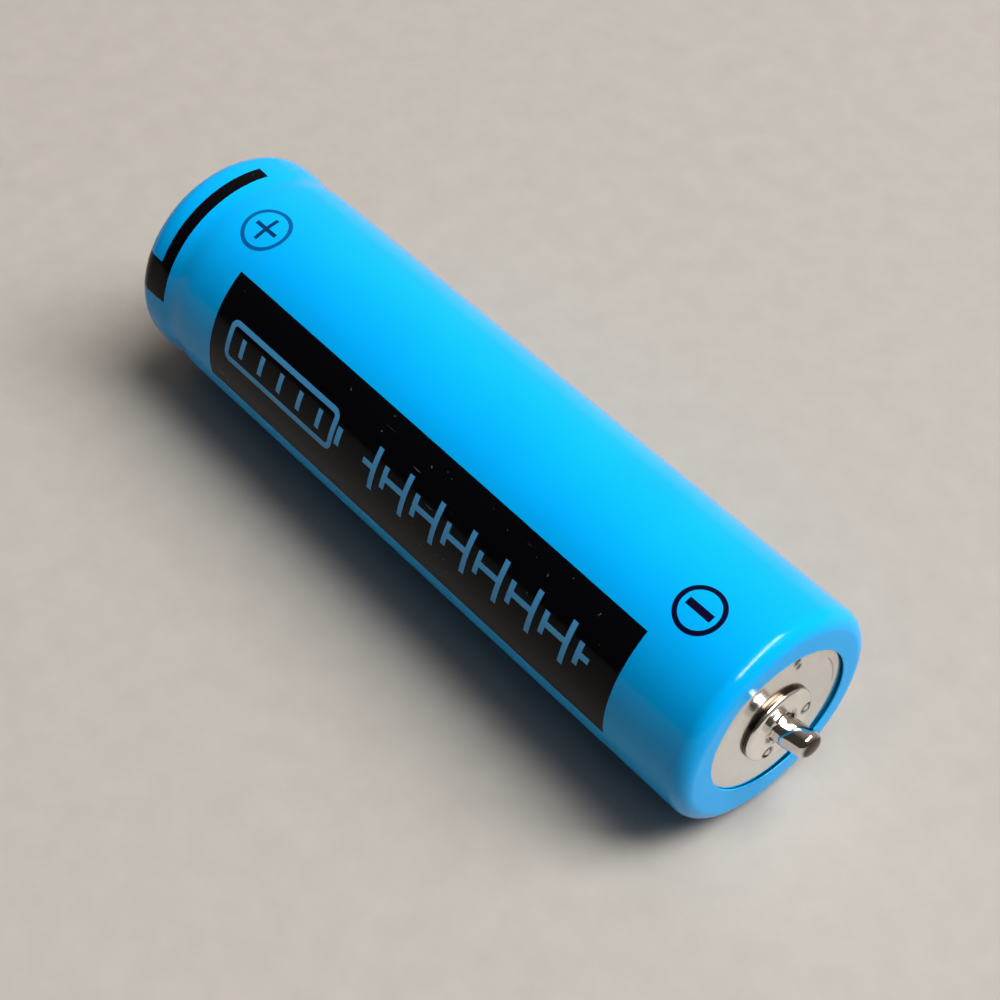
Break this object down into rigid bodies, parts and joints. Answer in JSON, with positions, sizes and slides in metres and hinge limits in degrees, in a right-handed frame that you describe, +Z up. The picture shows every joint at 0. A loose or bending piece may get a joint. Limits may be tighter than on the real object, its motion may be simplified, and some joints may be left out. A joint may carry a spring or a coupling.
{
  "type": "cylindrical battery cell",
  "caption": "Round lithium-ion cell in a blue shrink sleeve with a black printed band, crimped steel can, wound electrodes inside, and a welded contact plate with a short pin on each end.",
  "frame": {"origin": "centre of the cell, on its axis and halfway between its two ends", "axes": "+X along the cell's axis towards the negative end, +Z up with the cell lying on its side"},
  "size_m": [0.0548, 0.0142, 0.0142],
  "materials": {
    "sleeve_pvc": "glossy sky-blue PVC shrink film with black and navy print",
    "can_steel": "nickel-plated drawn steel, satin",
    "nickel_steel": "bright nickel plate",
    "aluminium": "plain rolled",
    "white_fibre": "white insulating fibre board",
    "natural_plastic": "natural polypropylene",
    "ptc_polymer": "carbon-filled polymer",
    "cathode_coating": "black oxide coating on aluminium foil",
    "anode_coating": "graphite coating on copper foil",
    "separator_film": "porous white film",
    "amber_tape": "amber polyimide tape"
  },
  "bodies": {
    "root": {"shrink_sleeve": "sleeve_pvc", "insulating_washer": "white_fibre", "steel_can": "can_steel", "crimp_gasket": "natural_plastic", "positive_cap": "nickel_steel", "ptc_washer": "ptc_polymer", "burst_disc": "aluminium", "cid_insulating_ring": "natural_plastic", "cid_contact_plate": "aluminium", "positive_tab": "aluminium", "top_insulator": "white_fibre", "core_tube": "can_steel", "cathode_sheet": "cathode_coating", "anode_sheet": "anode_coating", "inner_separator": "separator_film", "outer_separator": "separator_film", "roll_end_tape": "amber_tape", "negative_tab": "nickel_steel", "bottom_insulator": "white_fibre", "negative_contact_plate": "nickel_steel", "negative_contact_pin": "nickel_steel", "positive_contact_plate": "nickel_steel", "positive_contact_pin": "nickel_steel"}
  },
  "joints": []
}
